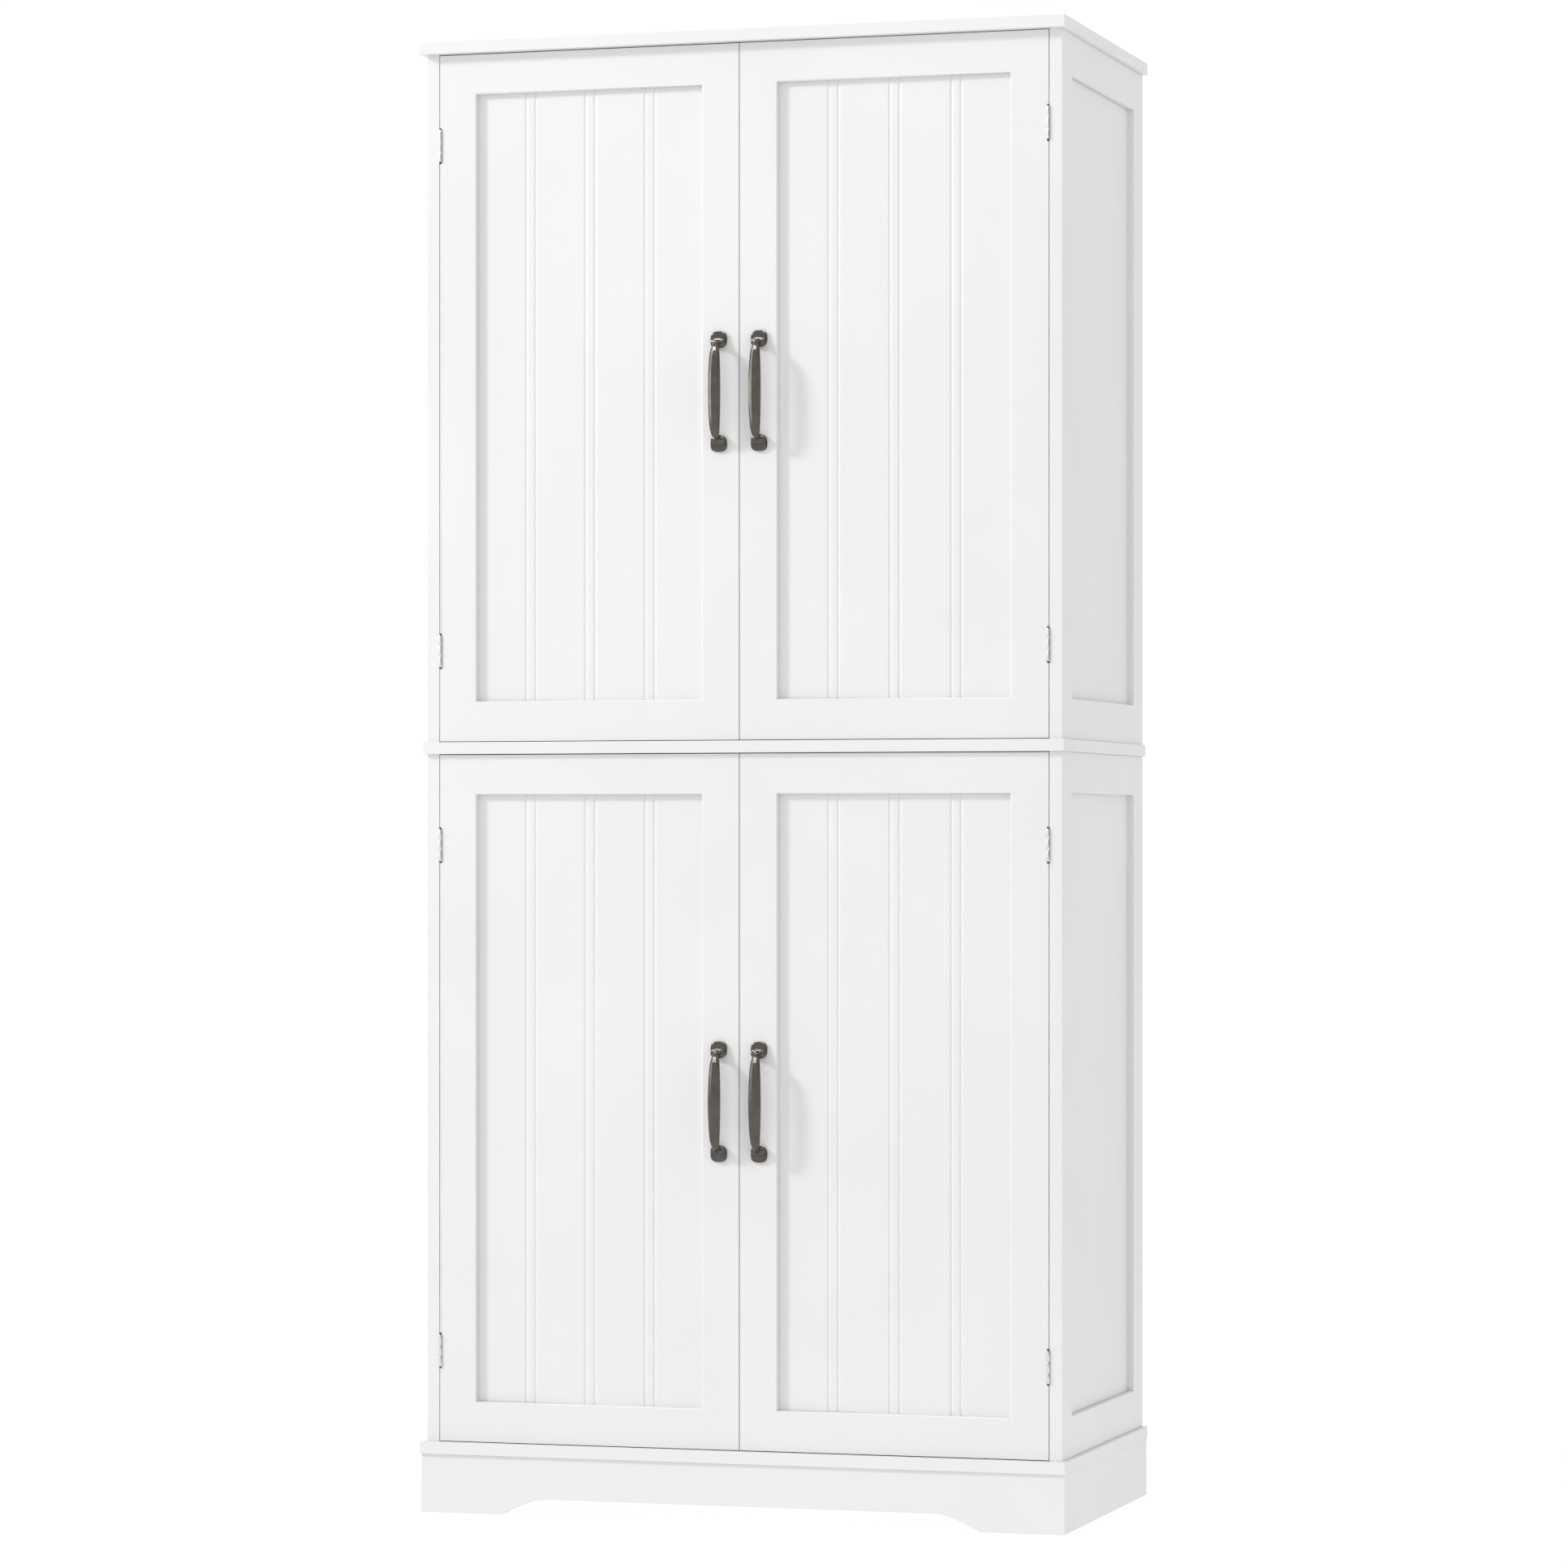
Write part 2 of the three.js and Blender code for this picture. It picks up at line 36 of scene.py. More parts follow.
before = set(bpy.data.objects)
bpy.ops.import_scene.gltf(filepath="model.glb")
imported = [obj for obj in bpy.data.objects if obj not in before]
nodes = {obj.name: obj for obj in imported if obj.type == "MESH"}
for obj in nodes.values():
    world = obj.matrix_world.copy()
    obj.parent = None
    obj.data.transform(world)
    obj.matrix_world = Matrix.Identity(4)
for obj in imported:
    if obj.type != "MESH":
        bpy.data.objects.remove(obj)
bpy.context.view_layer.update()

LEVELS = ("upper", "lower")
HANDS = (("left", -1), ("right", 1))


# ---- Node helpers -------------------------------------------------------------------------------------
class Shader:
    """A material's node tree with one Principled shader, and short calls for the usual nodes."""

    def __init__(self, name, roughness, metallic=0.0):
        self.material = bpy.data.materials.new(name)
        self.material.use_nodes = True
        self.tree = self.material.node_tree
        self.shader = self.tree.nodes["Principled BSDF"]
        self.shader.inputs["Roughness"].default_value = roughness
        self.shader.inputs["Metallic"].default_value = metallic
        self.place = self.tree.nodes.new("ShaderNodeTexCoord").outputs["Object"]

    def set(self, socket, value):
        self.shader.inputs[socket].default_value = value

    def link(self, output, socket):
        self.tree.links.new(output, self.shader.inputs[socket])

    def stretched(self, scale):
        node = self.tree.nodes.new("ShaderNodeMapping")
        node.inputs["Scale"].default_value = scale
        self.tree.links.new(self.place, node.inputs["Vector"])
        return node.outputs["Vector"]

    def noise(self, scale, detail=4.0, roughness=0.55, place=None):
        node = self.tree.nodes.new("ShaderNodeTexNoise")
        node.inputs["Scale"].default_value = scale
        node.inputs["Detail"].default_value = detail
        node.inputs["Roughness"].default_value = roughness
        self.tree.links.new(place or self.place, node.inputs["Vector"])
        return node.outputs["Fac"]

    def ramp(self, value, stops):
        """stops is a list of (position, grey or colour)."""
        node = self.tree.nodes.new("ShaderNodeValToRGB")
        elements = node.color_ramp.elements
        while len(elements) < len(stops):
            elements.new(0.5)
        for element, (position, colour) in zip(elements, stops):
            grey = not hasattr(colour, "__len__")
            element.position = position
            element.color = (colour, colour, colour, 1) if grey else (*colour, 1)
        self.tree.links.new(value, node.inputs["Fac"])
        return node.outputs["Color"]

    def bump(self, height, distance, strength, under=None):
        """distance is in metres; under is the normal of a coarser bump below this one."""
        node = self.tree.nodes.new("ShaderNodeBump")
        node.inputs["Strength"].default_value = strength
        node.inputs["Distance"].default_value = distance
        self.tree.links.new(height, node.inputs["Height"])
        if under is not None:
            self.tree.links.new(under, node.inputs["Normal"])
        return node.outputs["Normal"]


# ---- Materials ----------------------------------------------------------------------------------------
def lacquer(name, light, shade, roughness):
    """Sprayed satin lacquer on fibreboard: faint clouding, orange peel and fine dust nibs."""
    m = Shader(name, roughness)
    m.link(m.ramp(m.noise(3.2, 3), [(0.35, shade), (0.65, light)]), "Base Color")
    m.link(m.ramp(m.noise(9.0, 4), [(0.3, roughness - 0.05), (0.7, roughness + 0.06)]), "Roughness")
    peel = m.bump(m.noise(420.0, 2), 0.00004, 0.5)
    m.link(m.bump(m.noise(1900.0, 3), 0.000012, 0.5, peel), "Normal")
    m.set("Specular IOR Level", 0.42)
    return m.material


def hardboard(name):
    """Thin painted hardboard: dull, with a fine pressed-fibre texture."""
    m = Shader(name, 0.68)
    fibres = m.noise(260.0, 6, 0.65, m.stretched((1.0, 1.0, 0.55)))
    m.link(m.ramp(fibres, [(0.35, (0.70, 0.695, 0.675)), (0.62, (0.77, 0.768, 0.75))]), "Base Color")
    m.link(m.ramp(m.noise(14.0), [(0.3, 0.6), (0.7, 0.78)]), "Roughness")
    m.link(m.bump(fibres, 0.00012, 0.6), "Normal")
    return m.material


def bronze(name):
    """Dark plated casting: warm grey-brown, rubbed a little paler and glossier in places."""
    m = Shader(name, 0.22, 1.0)
    cloud = m.noise(70.0, 5)
    m.link(m.ramp(cloud, [(0.38, (0.100, 0.092, 0.082)), (0.66, (0.122, 0.112, 0.100))]), "Base Color")
    m.link(m.ramp(m.noise(160.0, 4), [(0.3, 0.17), (0.7, 0.27)]), "Roughness")
    m.link(m.bump(m.noise(650.0, 3), 0.00003, 0.35), "Normal")
    return m.material


def plated(name, light, shade, roughness, brush):
    """Plated steel with a fine drawn grain; brush stretches the grain along an axis."""
    m = Shader(name, roughness, 1.0)
    grain = m.noise(1500.0, 3, 0.6, m.stretched(brush))
    m.link(m.ramp(grain, [(0.35, shade), (0.65, light)]), "Base Color")
    m.link(m.ramp(m.noise(300.0, 3), [(0.3, roughness - 0.07), (0.7, roughness + 0.1)]), "Roughness")
    m.link(m.bump(grain, 0.000004, 0.3), "Normal")
    return m.material


def moulded(name, light, shade):
    """Off-white moulded plastic with a fine spark-eroded texture."""
    m = Shader(name, 0.5)
    m.link(m.ramp(m.noise(40.0, 3), [(0.35, shade), (0.65, light)]), "Base Color")
    m.link(m.ramp(m.noise(900.0, 2), [(0.3, 0.42), (0.7, 0.58)]), "Roughness")
    m.link(m.bump(m.noise(2600.0, 2), 0.00003, 0.5), "Normal")
    return m.material


def bare_board_and_hole_shade(name):
    """The raw brown fibreboard of a small drilled hole, made near-black: the brown is the board's own colour,
    the darkness is painted shade for the depth of the hole, which is drawn as a flat disc.
    """
    m = Shader(name, 0.9)
    m.link(m.ramp(m.noise(900.0, 5), [(0.3, (0.05, 0.036, 0.024)), (0.7, (0.12, 0.09, 0.062))]), "Base Color")
    m.link(m.ramp(m.noise(500.0), [(0.3, 0.8), (0.7, 0.97)]), "Roughness")
    return m.material


WHITE = lacquer("white_lacquer_satin", (0.76, 0.76, 0.759), (0.74, 0.74, 0.739), 0.42)
WHITE_INSIDE = lacquer("white_lacquer_inside", (0.755, 0.753, 0.748), (0.73, 0.728, 0.722), 0.5)
BACKBOARD = hardboard("painted_hardboard")
BRONZE = bronze("dark_bronze_casting")
NICKEL = plated("nickel_plate", (0.74, 0.74, 0.73), (0.70, 0.70, 0.69), 0.24, (1.0, 1.0, 0.04))
# Near-black metal for the hinge pins' tips and the strike plates' screws; on the hinge screws' cross recesses
# the same near-black is painted shade, standing for the dark hollow of each recess.
NEAR_BLACK_AND_PAINTED_SHADE = plated("near_black_metal_and_painted_shade", (0.07, 0.068, 0.065), (0.045, 0.043, 0.04), 0.4, (1.0, 1.0, 0.2))
ZINC = plated("zinc_plate", (0.66, 0.67, 0.68), (0.54, 0.55, 0.57), 0.33, (0.06, 1.0, 1.0))
PLASTIC = moulded("catch_plastic", (0.78, 0.775, 0.755), (0.74, 0.735, 0.715))
# Near-black brown: the board's own brown with painted shade for the depth of the shelf-pin holes.
BOARD_AND_HOLE_SHADE = bare_board_and_hole_shade("bare_fibreboard_and_painted_hole_shade")


# ---- Carried-over boards ------------------------------------------------------------------------------
SHORT = 1.5 * MM  # corners shorter than this stay crisp


def edge_group(name, upright, turn):
    """A small geometry group: shades the faces smooth, marks the long outer corners for rounding over and
    keeps the short and the inner ones crisp. A corner turns by more than turn degrees. Corners that run
    straight up get only the share upright of the rounding."""
    group = bpy.data.node_groups.new(name, "GeometryNodeTree")
    group.interface.new_socket("Geometry", in_out="INPUT", socket_type="NodeSocketGeometry")
    group.interface.new_socket("Geometry", in_out="OUTPUT", socket_type="NodeSocketGeometry")

    def add(kind, **settings):
        node = group.nodes.new(kind)
        for key, value in settings.items():
            setattr(node, key, value)
        return node

    def link(source, target):
        group.links.new(source, target)

    def over(value, limit):
        node = add("FunctionNodeCompare", data_type="FLOAT", operation="GREATER_THAN")
        link(value, node.inputs[0])
        node.inputs[1].default_value = limit
        return node.outputs[0]

    def both(a, b):
        node = add("FunctionNodeBooleanMath", operation="AND")
        link(a, node.inputs[0])
        link(b, node.inputs[1])
        return node.outputs[0]

    start, end = add("NodeGroupInput"), add("NodeGroupOutput")
    ends = add("GeometryNodeInputMeshEdgeVertices")
    length = add("ShaderNodeVectorMath", operation="DISTANCE")
    link(ends.outputs["Position 1"], length.inputs[0])
    link(ends.outputs["Position 2"], length.inputs[1])
    angle = add("GeometryNodeInputMeshEdgeAngle")
    corner = over(angle.outputs["Unsigned Angle"], math.radians(turn))
    outer = over(angle.outputs["Signed Angle"], math.radians(turn))
    rounded = both(outer, over(length.outputs["Value"], SHORT))
    not_rounded = add("FunctionNodeBooleanMath", operation="NOT")
    link(rounded, not_rounded.inputs[0])
    faces = add("GeometryNodeSetShadeSmooth")
    edges = add("GeometryNodeSetShadeSmooth", domain="EDGE")
    edges.inputs["Shade Smooth"].default_value = False
    mark = add("GeometryNodeStoreNamedAttribute", data_type="FLOAT", domain="EDGE")
    mark.inputs["Name"].default_value = "bevel_weight_edge"
    link(start.outputs[0], faces.inputs["Geometry"])
    link(faces.outputs["Geometry"], edges.inputs["Geometry"])
    link(both(corner, not_rounded.outputs[0]), edges.inputs["Selection"])
    link(edges.outputs["Geometry"], mark.inputs["Geometry"])
    run = add("ShaderNodeVectorMath", operation="SUBTRACT")
    link(ends.outputs["Position 1"], run.inputs[0])
    link(ends.outputs["Position 2"], run.inputs[1])
    unit = add("ShaderNodeVectorMath", operation="NORMALIZE")
    link(run.outputs["Vector"], unit.inputs[0])
    rise = add("ShaderNodeVectorMath", operation="DOT_PRODUCT")
    link(unit.outputs["Vector"], rise.inputs[0])
    rise.inputs[1].default_value = (0.0, 0.0, 1.0)
    steep = add("ShaderNodeMath", operation="ABSOLUTE")
    link(rise.outputs["Value"], steep.inputs[0])
    share = add("ShaderNodeMath", operation="MULTIPLY_ADD")
    link(steep.outputs[0], share.inputs[0])
    share.inputs[1].default_value = upright - 1.0
    share.inputs[2].default_value = 1.0
    weight = add("ShaderNodeMath", operation="MULTIPLY")
    link(rounded, weight.inputs[0])
    link(share.outputs[0], weight.inputs[1])
    link(weight.outputs[0], mark.inputs["Value"])
    link(mark.outputs["Geometry"], end.inputs[0])
    return group


# The turn of 24 degrees takes in the rims of the doors' V grooves; 35 leaves out the facets of the round
# pins that are one with the side panels.
MARKED = edge_group("mark_edges", 1.0, 24.0)
SIDE_UPRIGHTS = 0.4  # share of a side board's rounding that its upright corners get
MARKED_SIDES = edge_group("mark_side_edges", SIDE_UPRIGHTS, 35.0)
SAME_POINT = 0.002 * MM
SAME_PLANE = math.radians(0.5)
ROUNDING_STEPS = 3
LARGEST_FACE_WINS = 100  # strength with which a large flat face sets the shading at its corners


def soften(obj, width, group):
    """Rounds an object's outer corners by width metres with modifiers only."""
    weld = obj.modifiers.new("weld", "WELD")
    weld.merge_threshold = SAME_POINT
    flat = obj.modifiers.new("flat_faces", "DECIMATE")
    flat.decimate_type = "DISSOLVE"
    flat.angle_limit = SAME_PLANE
    marked = obj.modifiers.new("marked_edges", "NODES")
    marked.node_group = group
    bevel = obj.modifiers.new("soft_edges", "BEVEL")
    bevel.width = width
    bevel.segments = ROUNDING_STEPS
    bevel.limit_method = "WEIGHT"
    bevel.use_clamp_overlap = False
    weight = obj.modifiers.new("flat_shading", "WEIGHTED_NORMAL")
    weight.mode = "FACE_AREA"
    weight.weight = LARGEST_FACE_WINS
    weight.keep_sharp = True


def finish_node(name, material, edge, group=MARKED):
    obj = nodes[name]
    obj.data.materials.clear()
    obj.data.materials.append(material)
    soften(obj, edge, group)


BOARD_EDGE = 0.7 * MM
FRAME_EDGE = 0.4 * MM
SIDE_EDGE = 1.0 * MM
BEAD_EDGE = 0.35 * MM
THIN_EDGE = 0.3 * MM

for name in ("top_board", "mid_board", "bottom_board"):
    finish_node(name, WHITE, BOARD_EDGE)
for name in ("plinth_front", "plinth_left", "plinth_right", "plinth_rear"):
    finish_node(name, WHITE, BOARD_EDGE)
for level in LEVELS:
    finish_node(f"back_{level}", BACKBOARD, THIN_EDGE)
    for place in ("low", "high"):
        finish_node(f"shelf_{level}_{place}", WHITE_INSIDE, BOARD_EDGE)
    for hand, _ in HANDS:
        finish_node(f"side_{level}_{hand}_front_post", WHITE, FRAME_EDGE)
        for part in ("panel", "rear_post"):
            finish_node(f"side_{level}_{hand}_{part}", WHITE, SIDE_EDGE, MARKED_SIDES)
        finish_node(f"door_{level}_{hand}_frame", WHITE, FRAME_EDGE)
        finish_node(f"door_{level}_{hand}_panel", WHITE, BEAD_EDGE)


# ---- Mesh helpers -------------------------------------------------------------------------------------
def make_object(name, mesh_maker, material, body, smooth_angle=35.0):
    """Runs mesh_maker on an empty bmesh and makes a named piece of the result that rides on body. Edges
    that turn by more than smooth_angle degrees stay crisp."""
    bm = bmesh.new()
    mesh_maker(bm)
    bmesh.ops.recalc_face_normals(bm, faces=bm.faces)
    for face in bm.faces:
        face.smooth = True
    for edge in bm.edges:
        if len(edge.link_faces) == 2 and edge.calc_face_angle(0.0) > math.radians(smooth_angle):
            edge.smooth = False
    mesh = bpy.data.meshes.new(name)
    bm.to_mesh(mesh)
    bm.free()
    mesh.materials.append(material)
    obj = bpy.data.objects.new(name, mesh)
    bpy.context.scene.collection.objects.link(obj)
    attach(obj, body)
    return obj


def skin(bm, rings):
    """Joins rings of points, each of the same count, and closes the ends."""
    loops = [[bm.verts.new(p) for p in ring] for ring in rings]
    count = len(loops[0])
    for low, high in zip(loops, loops[1:]):
        for i in range(count):
            j = (i + 1) % count
            bm.faces.new((low[i], low[j], high[j], high[i]))
    bm.faces.new(loops[0])
    bm.faces.new(loops[-1])
    return loops


def superellipse(half_u, half_v, power, count):
    """Points round a rounded rectangle; power 2 is an ellipse, larger is squarer."""
    points = []
    for i in range(count):
        turn = 2 * math.pi * i / count
        c, s = math.cos(turn), math.sin(turn)
        u = half_u * math.copysign(abs(c) ** (2 / power), c)
        v = half_v * math.copysign(abs(s) ** (2 / power), s)
        points.append((u, v))
    return points


def turned(bm, profile, to_place, sides):
    """A solid of revolution: profile is (radius, height) pairs, to_place maps (x, y, height) to a point."""
    rings = []
    for radius, height in profile:
        angles = [2 * math.pi * i / sides for i in range(sides)]
        rings.append([to_place(radius * math.cos(a), radius * math.sin(a), height) for a in angles])
    return skin(bm, rings)


def soft_box(bm, low, high, radius, segments):
    """A box between two corners with rounded edges."""
    made = bmesh.ops.create_cube(bm, size=1.0)["verts"]
    size = [h - l for l, h in zip(low, high)]
    middle = [(h + l) / 2 for l, h in zip(low, high)]
    for vert in made:
        vert.co = Vector(m + s * c for m, s, c in zip(middle, size, vert.co))
    edges = list({e for v in made for e in v.link_edges})
    bmesh.ops.bevel(bm, geom=edges, offset=radius, segments=segments, profile=0.5, affect="EDGES")


# ---- Handles ------------------------------------------------------------------------------------------
FOOT_FROM_MIDDLE = 64.0  # mm
# Each foot is a rounded square pad, with an oval boss on its inner half that narrows into the neck of the
# grip. Rings in mm: reach from the door, shift towards the middle of the handle, half width, half height,
# squareness of the outer half and of the half towards the grip.
PAD_RINGS = (
    (0.0, 0.0, 10.1, 10.1, 3.0, 2.5),
    (0.3, 0.0, 10.3, 10.3, 3.0, 2.5),
    (2.8, 0.0, 10.3, 10.3, 3.0, 2.5),
    (3.6, 0.0, 10.05, 10.05, 3.0, 2.5),
    (4.1, 0.0, 9.5, 9.5, 2.9, 2.4),
    (4.3, 0.0, 8.4, 8.4, 2.8, 2.3),
)
BOSS_RINGS = (
    (2.6, 4.1, 9.6, 6.3, 2.3, 2.3),
    (5.2, 4.1, 9.6, 6.3, 2.3, 2.3),
    (5.8, 4.15, 9.3, 6.1, 2.3, 2.3),
    (6.3, 4.2, 8.6, 5.7, 2.2, 2.2),
    (6.6, 4.3, 7.6, 5.2, 2.2, 2.2),
    (6.8, 4.5, 6.4, 4.7, 2.1, 2.1),
    (7.3, 4.7, 5.2, 4.1, 2.0, 2.0),
    (8.3, 5.0, 4.1, 3.6, 2.0, 2.0),
    (9.8, 5.4, 3.4, 3.2, 2.0, 2.0),
    (11.5, 6.2, 3.0, 2.9, 2.0, 2.0),
    (13.3, 7.3, 3.0, 2.9, 2.0, 2.0),
    (14.4, 8.1, 2.7, 2.5, 2.0, 2.0),
)
RING_POINTS = 56
# Small collar where the neck meets the grip: radius and distance along the neck.
COLLAR = ((2.6, -0.8), (3.3, -0.6), (3.55, -0.25), (3.55, 0.25), (3.3, 0.6), (2.6, 0.8))
COLLAR_AT = (6.3, 11.7)  # shift towards the middle, reach from the door
COLLAR_LEAN = 1.9  # how much faster the neck runs away from the door than towards the middle
COLLAR_SIDES = 32
# Grip stations in mm: height from the middle, reach, half width, half depth, and whether it is a crease.
GRIP = (
    (57.4, 13.2, 2.0, 1.8, False),
    (56.6, 14.0, 3.4, 2.8, False),
    (55.2, 15.1, 4.3, 3.3, False),
    (52.4, 16.2, 5.1, 3.5, True),
    (48.4, 17.8, 5.8, 3.8, True),
    (42.0, 18.9, 6.4, 4.1, False),
    (32.0, 19.6, 6.95, 4.3, False),
    (20.0, 20.1, 7.4, 4.45, False),
    (9.0, 20.3, 7.65, 4.55, False),
    (0.0, 20.4, 7.7, 4.6, False),
)
# Section of the grip, one unit across to each side: flat front, two wide bevels, rounded back.
GRIP_SECTION = (
    (-0.38, -1.0), (0.38, -1.0), (1.0, -0.42), (1.0, 0.2), (0.75, 0.75),
    (0.3, 1.0), (-0.3, 1.0), (-0.75, 0.75), (-1.0, 0.2), (-1.0, -0.42),
)
LONG_CORNERS = (0, 1, 2, 9)  # corners of the section whose long edges are rounded over
GRIP_EDGE = 0.4 * MM
CASTING_CREASE = 28.0  # degrees


def handle_rings(bm, x, face, z, inward, rings):
    """Skins rings round a foot at (x, z) on the door's face; inward is +1 if the grip lies above it."""
    placed = []
    for reach, shift, half_u, half_v, outer_power, inner_power in rings:
        outer = superellipse(half_u, half_v, outer_power, RING_POINTS)
        inner = superellipse(half_u, half_v, inner_power, RING_POINTS)
        outline = [i if i[1] * inward > 0 else o for o, i in zip(outer, inner)]
        placed.append([(x + u * MM, face - reach * MM, z + (inward * shift + v) * MM) for u, v in outline])
    skin(bm, placed)


def handle_collar(bm, x, face, z, inward):
    shift, reach = COLLAR_AT
    along = Vector((0.0, -COLLAR_LEAN, inward)).normalized()
    across = Vector((1.0, 0.0, 0.0))
    up = along.cross(across)
    centre = Vector((x, face - reach * MM, z + inward * shift * MM))
    turned(bm, COLLAR, lambda u, v, h: centre + (across * u + up * v + along * h) * MM, COLLAR_SIDES)


def handle_grip(bm, x, face, z):
    lower = [(-h, r, w, d, crease) for h, r, w, d, crease in reversed(GRIP[:-1])]
    stations = [*GRIP, *lower]
    rings = []
    for i, (height, reach, wide, deep, _) in enumerate(stations):
        before = stations[max(0, i - 1)]
        after = stations[min(len(stations) - 1, i + 1)]
        run = Vector((before[1] - after[1], after[0] - before[0])).normalized()
        ring = []
        for u, v in GRIP_SECTION:
            y = face - reach * MM - v * deep * MM * run.y
            ring.append((x + u * wide * MM, y, z + (height + v * deep * run.x) * MM))
        rings.append(ring)
    loops = skin(bm, rings)
    for (*_, crease), loop in zip(stations, loops):
        if crease:
            for a, b in zip(loop, loop[1:] + loop[:1]):
                bm.edges.get((a, b)).smooth = False
    spans = list(zip(loops, loops[1:]))
    long_edges = [bm.edges.get((low[c], high[c])) for low, high in spans for c in LONG_CORNERS]
    bmesh.ops.bevel(bm, geom=long_edges, offset=GRIP_EDGE, segments=3, profile=0.5, affect="EDGES")


def make_handle(level, hand):
    name = f"handle_{level}_{hand}"
    low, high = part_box(name)
    x = (low.x + high.x) / 2
    z = (low.z + high.z) / 2
    face = high.y

    def build(bm):
        for inward in (-1, 1):
            foot_z = z - inward * FOOT_FROM_MIDDLE * MM
            handle_rings(bm, x, face, foot_z, inward, PAD_RINGS)
            handle_rings(bm, x, face, foot_z, inward, BOSS_RINGS)
            handle_collar(bm, x, face, foot_z, inward)
        handle_grip(bm, x, face, z)

    body = f"door_{level}_{hand}"
    piece = make_object(f"{name}_casting", build, BRONZE, body, CASTING_CREASE)
    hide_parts(name)


# ---- Hinges -------------------------------------------------------------------------------------------
# All in mm.
BARREL_RADIUS = 2.2
BARREL_HALF = 20.0
BARREL_SIDES = 28
MIDDLE_KNUCKLE = 7.0  # half the height of the door leaf's knuckle
KNUCKLE_GAP = 0.06
KNUCKLE_ROUND = 0.12
ROUND_IN, ROUND_UP = 0.03, 0.04  # a point halfway round a knuckle's end: in from its side, up from its end
TIP_RADIUS = 1.25
TIP_REACH = 2.15
TIP_START = 0.3  # how far inside the barrel a pin tip begins
TIP_SIDES = 20
LEAF_THICK = 0.85
LEAF_CORNER = 2.5
LEAF_TURNS = (0, 30, 60, 90)  # degrees round a leaf's rounded corner
FRAME_LEAF_FROM_PIN = 2.0  # outer face of the frame leaf, sideways from the pin
DOOR_LEAF_FROM_PIN = 0.0
FRAME_LEAF_START = 0.1  # front edge of a leaf beside its own knuckles, behind the pin
DOOR_LEAF_START = 1.1
BARREL_CLEARANCE = 0.3  # from the barrel to a leaf beside the other leaf's knuckles
SCREW_RADIUS = 2.6
SCREW_RIM = 0.97  # the rim's share of the radius
SCREW_SINK = 0.7
SCREW_SIDES = 24
SCREW_HEIGHTS = (-13.0, 13.0)
SCREW_FROM_REAR = 5.2
CROSS_REACH, CROSS_HALF = 1.5, 0.35


def knuckle(bm, x, y, z0, z1):
    r, e = BARREL_RADIUS, KNUCKLE_ROUND
    profile = (
        (r - e, z0), (r - ROUND_IN, z0 + ROUND_UP), (r, z0 + e),
        (r, z1 - e), (r - ROUND_IN, z1 - ROUND_UP), (r - e, z1),
    )
    turned(bm, profile, lambda u, v, h: (x + u * MM, y + v * MM, h * MM), BARREL_SIDES)


def leaf_outline(front, rear, low, high, corner, notch):
    """Corners of a leaf in its own plane as (y, z) in mm: rounded rear corners, and a front edge that
    steps back over the height range notch."""
    points = [(front, low)]
    for turn in LEAF_TURNS:
        a = math.radians(turn - 90)
        points.append((rear - corner + corner * math.cos(a), low + corner + corner * math.sin(a)))
    for turn in LEAF_TURNS:
        a = math.radians(turn)
        points.append((rear - corner + corner * math.cos(a), high - corner + corner * math.sin(a)))
    points.append((front, high))
    step, (n0, n1) = notch
    points += [(front, n1), (step, n1), (step, n0), (front, n0)]
    return points


def drop_repeats(points):
    """Leaves out each point that lies on the one before it."""
    kept = []
    for point in points:
        if not kept or max(abs(a - b) for a, b in zip(point, kept[-1])) > 1e-6:
            kept.append(point)
    return kept


def leaf_plate(bm, x_wall, x_free, outline):
    rings = [[(x * MM, y * MM, z * MM) for y, z in outline] for x in (x_wall, x_free)]
    skin(bm, rings)


def screw_head(bm, x, y, z, out):
    """A flat countersunk head, its face at x and looking along out (+1 or -1)."""
    profile = ((SCREW_RADIUS * 0.6, -SCREW_SINK), (SCREW_RADIUS, -0.12), (SCREW_RADIUS * SCREW_RIM, 0.0))
    turned(bm, profile, lambda u, v, h: ((x + out * h) * MM, (y + u) * MM, (z + v) * MM), SCREW_SIDES)


def cross_recess_shade(bm, x, y, z, out):
    """A flat near-black cross lying a hair proud of a screw's face: painted shade standing for the dark
    hollow of a cross recess.
    """
    lift = 0.02
    for long_y, long_z in ((CROSS_REACH, CROSS_HALF), (CROSS_HALF, CROSS_REACH)):
        corners = [(-long_y, -long_z), (long_y, -long_z), (long_y, long_z), (-long_y, long_z)]
        rings = []
        for h in (-0.2, lift):
            rings.append([((x + out * h) * MM, (y + u) * MM, (z + v) * MM) for u, v in corners])
        skin(bm, rings)
        lift += 0.01


